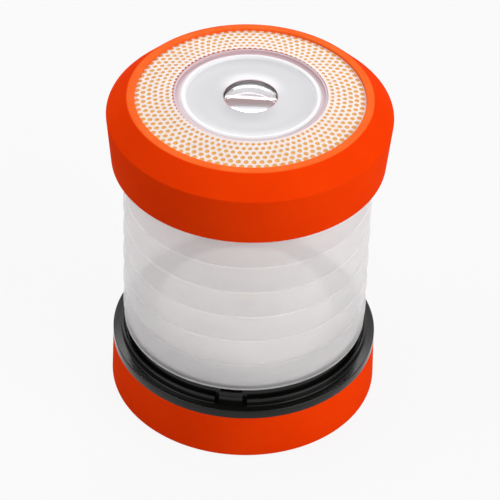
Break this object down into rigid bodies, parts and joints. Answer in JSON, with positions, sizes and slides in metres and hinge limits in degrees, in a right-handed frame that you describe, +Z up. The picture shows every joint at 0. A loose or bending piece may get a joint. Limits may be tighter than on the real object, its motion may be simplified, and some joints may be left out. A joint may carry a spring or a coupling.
{
  "type": "collapsible camping lantern",
  "caption": "Collapsible camping lantern with a milky ribbed bellows between a round base and a bevelled cap with a perforated ring and a spot lens.",
  "frame": {"origin": "on the standing surface, under the lantern's axis", "axes": "+Z up along the axis, -Y towards the front snap finger, +Y towards the power button"},
  "size_m": [0.088, 0.088, 0.1125],
  "materials": {
    "orange_shell": "soft-touch paint, satin",
    "black_ring": "moulded, glossy",
    "white_plastic": "moulded, satin",
    "grille_white": "moulded, satin",
    "milky_bellows": "milky, translucent",
    "pale_dish": "satin, pale silver-grey",
    "clear_lens": "polished, clear",
    "steel_wire": "bright plated wire",
    "plated_steel": "nickel plated",
    "black_rubber": "matt",
    "star_board": "white solder mask on metal",
    "emitter": "phosphor under a clear dome",
    "circuit_board": "green solder mask",
    "board_parts": "moulded, matt",
    "cell_jacket": "plain metallic jacket, close to a dry cell's density"
  },
  "bodies": {
    "base": {"base_shell": "orange_shell", "latch_ring": "black_ring", "bellows": "milky_bellows", "bellows_lower_ring": "black_ring", "led_pedestal": "white_plastic", "led_board": "star_board", "led_emitter": "emitter", "battery_tray": "white_plastic", "tray_screws": "plated_steel", "contact_plates": "plated_steel", "contact_springs": "plated_steel", "driver_board": "circuit_board", "driver_parts": "board_parts", "push_switch": "board_parts", "foot_pads": "black_rubber", "cell_1": "cell_jacket", "cell_2": "cell_jacket", "cell_3": "cell_jacket"},
    "cap": {"cap_shell": "orange_shell", "grille_ring": "grille_white", "lens_dish": "pale_dish", "spot_lens": "clear_lens", "lens_retainer": "white_plastic", "bellows_upper_ring": "white_plastic", "cap_screws": "plated_steel"},
    "power_button": {"power_button": "black_rubber", "switch_plunger": "board_parts"},
    "battery_cover": {"battery_cover": "orange_shell", "cover_seal": "black_rubber"},
    "hanging_bail": {"hanging_bail": "steel_wire"}
  },
  "joints": [
    {"name": "cap_slide", "type": "slide", "parent": "base", "child": "cap", "axis": [0, 0, 1], "range_m": [-0.0685, 0], "deforming": ["bellows"]},
    {"name": "button_press", "type": "slide", "parent": "base", "child": "power_button", "axis": [0, -1, 0], "range_m": [0, 0.0012], "stiffness_N_per_m": 800},
    {"name": "cover_twist", "type": "hinge", "parent": "base", "child": "battery_cover", "pos_m": [0, 0, 0.0007], "axis": [0, 0, 1], "range_deg": [0, 45]},
    {"name": "bail_swing", "type": "hinge", "parent": "base", "child": "hanging_bail", "pos_m": [0, 0, 0.0019], "axis": [1, 0, 0], "range_deg": [0, 90]}
  ]
}
